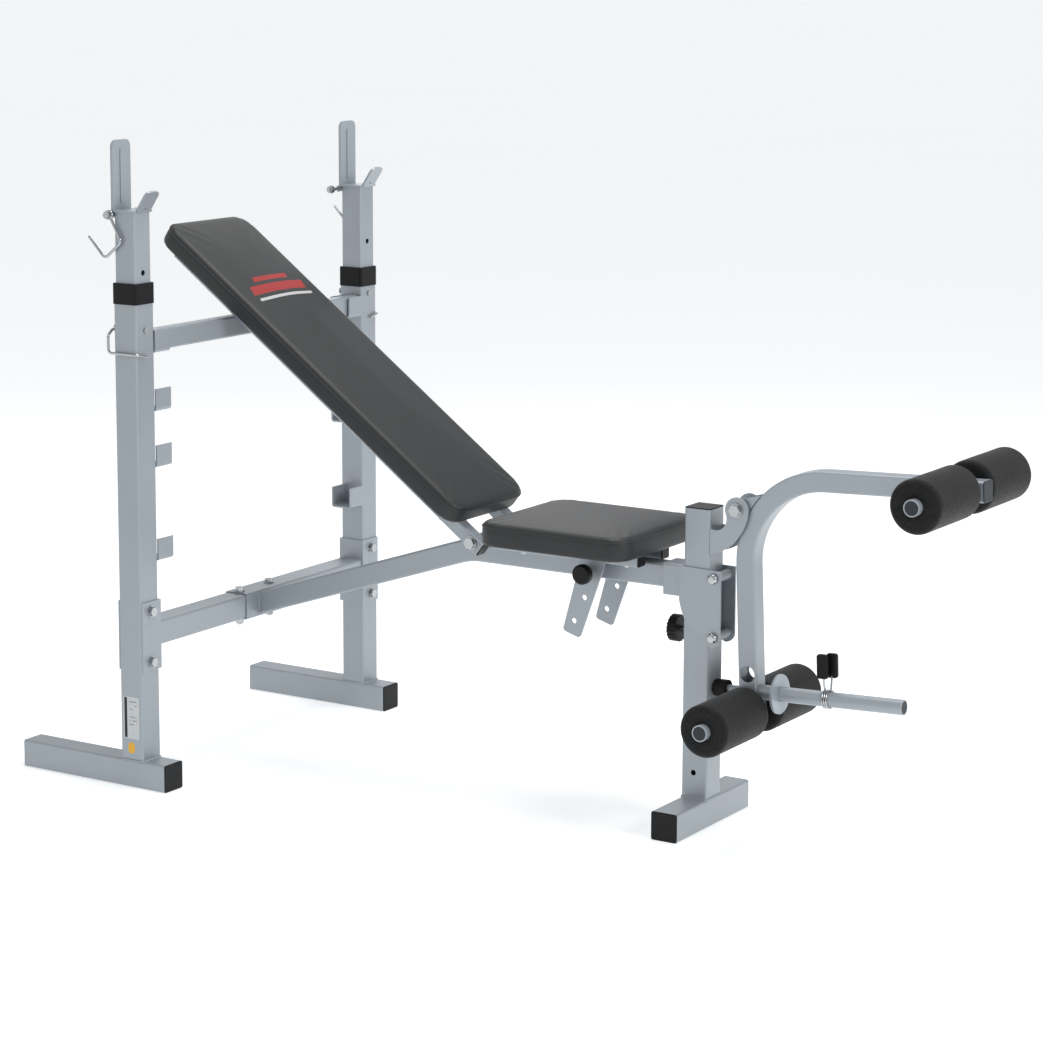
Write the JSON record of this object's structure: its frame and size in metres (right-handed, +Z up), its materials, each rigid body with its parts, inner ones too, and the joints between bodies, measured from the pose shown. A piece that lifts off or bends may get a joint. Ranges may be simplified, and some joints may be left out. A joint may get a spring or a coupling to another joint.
{
  "type": "adjustable weight bench",
  "caption": "Adjustable weight bench with telescoping bar uprights, inclined back rest on a movable support bar, tilting seat and leg developer with foam rollers and weight peg.",
  "frame": {"origin": "on the floor, at the middle of the bench's length and width", "axes": "+X from the bar uprights to the leg developer, +Y to the left of a person seated facing +X, +Z up"},
  "size_m": [1.7418, 0.7546, 1.1625],
  "materials": {
    "frame_paint": "satin bluish silver-grey powder coat",
    "zinc_steel": "bright zinc plate",
    "chrome_wire": "bright plated wire",
    "black_plastic": "moulded, fine texture",
    "grey_plastic": "moulded, fine texture",
    "black_vinyl": "vinyl over foam, satin with a fine leather grain",
    "board_wood": "raw board",
    "black_foam": "closed-cell foam with a fine open surface",
    "black_rubber": "moulded rubber"
  },
  "bodies": {
    "frame": {"rear_foot_left": "frame_paint", "rear_foot_right": "frame_paint", "front_foot": "frame_paint", "tube_caps": "black_plastic", "upright_left": "frame_paint", "upright_right": "frame_paint", "post_collars": "black_plastic", "bar_hooks": "frame_paint", "lock_pins": "zinc_steel", "cross_brackets": "frame_paint", "cross_tube": "frame_paint", "cross_sleeve": "frame_paint", "frame_bolts": "zinc_steel", "main_beam": "frame_paint", "beam_socket": "frame_paint", "gusset_plates": "frame_paint", "gusset_spacers": "frame_paint", "gusset_bolts": "zinc_steel", "front_post": "frame_paint", "developer_ears": "frame_paint", "pivot_bolts": "zinc_steel", "welded_bosses": "frame_paint", "support_bar": "frame_paint"},
    "post_left": {"inner_post_left": "frame_paint", "catch_left": "frame_paint", "hook_bolt_left": "zinc_steel"},
    "post_right": {"inner_post_right": "frame_paint", "catch_right": "frame_paint", "hook_bolt_right": "zinc_steel"},
    "hanging_hook_left": {"safety_hook_left": "chrome_wire"},
    "hanging_hook_right": {"safety_hook_right": "chrome_wire"},
    "bail_left": {"pin_bail_left": "chrome_wire"},
    "bail_right": {"pin_bail_right": "chrome_wire"},
    "knob": {"clamp_knob": "black_plastic", "clamp_stud": "zinc_steel"},
    "back_rest": {"backrest_rails": "frame_paint", "backrest_rail_caps": "black_plastic", "backrest_board": "board_wood", "backrest_pad": "black_vinyl", "backrest_screws": "zinc_steel"},
    "seat": {"seat_rails": "frame_paint", "seat_rail_caps": "black_plastic", "seat_tilt_plates": "frame_paint", "seat_board": "board_wood", "seat_pad": "black_vinyl", "seat_screws": "zinc_steel"},
    "seat_lock": {"seat_knob": "black_plastic", "seat_pin": "zinc_steel"},
    "leg_arm": {"developer_arm": "frame_paint", "arm_pivot_lug": "frame_paint", "roller_tubes": "frame_paint", "arm_tube_caps": "grey_plastic", "weight_peg": "frame_paint", "bumper": "black_rubber"},
    "roller_upper_left": {"foam_roller_upper_left": "black_foam"},
    "roller_upper_right": {"foam_roller_upper_right": "black_foam"},
    "roller_lower_left": {"foam_roller_lower_left": "black_foam"},
    "roller_lower_right": {"foam_roller_lower_right": "black_foam"},
    "peg_collar": {"collar_spring": "chrome_wire", "collar_grips": "black_plastic"}
  },
  "joints": [
    {"name": "post_slide_left", "type": "slide", "parent": "frame", "child": "post_left", "axis": [0, 0, 1], "range_m": [0, 0.204]},
    {"name": "safety_hook_swing_left", "type": "hinge", "parent": "post_left", "child": "hanging_hook_left", "pos_m": [-0.64189, 0.368, 1.0315], "axis": [0, -1, 0], "range_deg": [-20, 150]},
    {"name": "pin_bail_swing_left", "type": "hinge", "parent": "frame", "child": "bail_left", "pos_m": [-0.64889, 0.34, 0.828], "axis": [0, -1, 0], "range_deg": [0, 40]},
    {"name": "post_slide_right", "type": "slide", "parent": "frame", "child": "post_right", "axis": [0, 0, 1], "range_m": [0, 0.204]},
    {"name": "safety_hook_swing_right", "type": "hinge", "parent": "post_right", "child": "hanging_hook_right", "pos_m": [-0.64189, -0.368, 1.0315], "axis": [0, -1, 0], "range_deg": [-20, 150]},
    {"name": "pin_bail_swing_right", "type": "hinge", "parent": "frame", "child": "bail_right", "pos_m": [-0.64889, -0.34, 0.828], "axis": [0, -1, 0], "range_deg": [0, 40]},
    {"name": "backrest_hinge", "type": "hinge", "parent": "frame", "child": "back_rest", "pos_m": [-0.07039, 0, 0.461], "axis": [0, 1, 0], "range_deg": [0, 17]},
    {"name": "seat_tilt", "type": "hinge", "parent": "frame", "child": "seat", "pos_m": [-0.07039, 0, 0.461], "axis": [0, -1, 0], "range_deg": [0, 24]},
    {"name": "seat_pin_pull", "type": "slide", "parent": "seat", "child": "seat_lock", "axis": [0, -1, 0], "range_m": [0, 0.022], "stiffness_N_per_m": 600, "springref_m": -0.01},
    {"name": "clamp_knob_turn", "type": "hinge", "parent": "frame", "child": "knob", "pos_m": [0.30011, 0, 0.34], "axis": [1, 0, 0], "continuous": true},
    {"name": "leg_developer_swing", "type": "hinge", "parent": "frame", "child": "leg_arm", "pos_m": [0.42611, 0, 0.5625], "axis": [0, -1, 0], "range_deg": [0, 95]},
    {"name": "roller_turn_upper_left", "type": "hinge", "parent": "leg_arm", "child": "roller_upper_left", "pos_m": [0.82453, 0.1, 0.63485], "axis": [0, 1, 0], "continuous": true},
    {"name": "roller_turn_upper_right", "type": "hinge", "parent": "leg_arm", "child": "roller_upper_right", "pos_m": [0.82453, -0.1, 0.63485], "axis": [0, 1, 0], "continuous": true},
    {"name": "roller_turn_lower_left", "type": "hinge", "parent": "leg_arm", "child": "roller_lower_left", "pos_m": [0.44943, 0.1, 0.21616], "axis": [0, 1, 0], "continuous": true},
    {"name": "roller_turn_lower_right", "type": "hinge", "parent": "leg_arm", "child": "roller_lower_right", "pos_m": [0.44943, -0.1, 0.21616], "axis": [0, 1, 0], "continuous": true},
    {"name": "collar_slide", "type": "slide", "parent": "leg_arm", "child": "peg_collar", "axis": [0.9992, 0, 0.0401], "range_m": [-0.07, 0.12]}
  ]
}
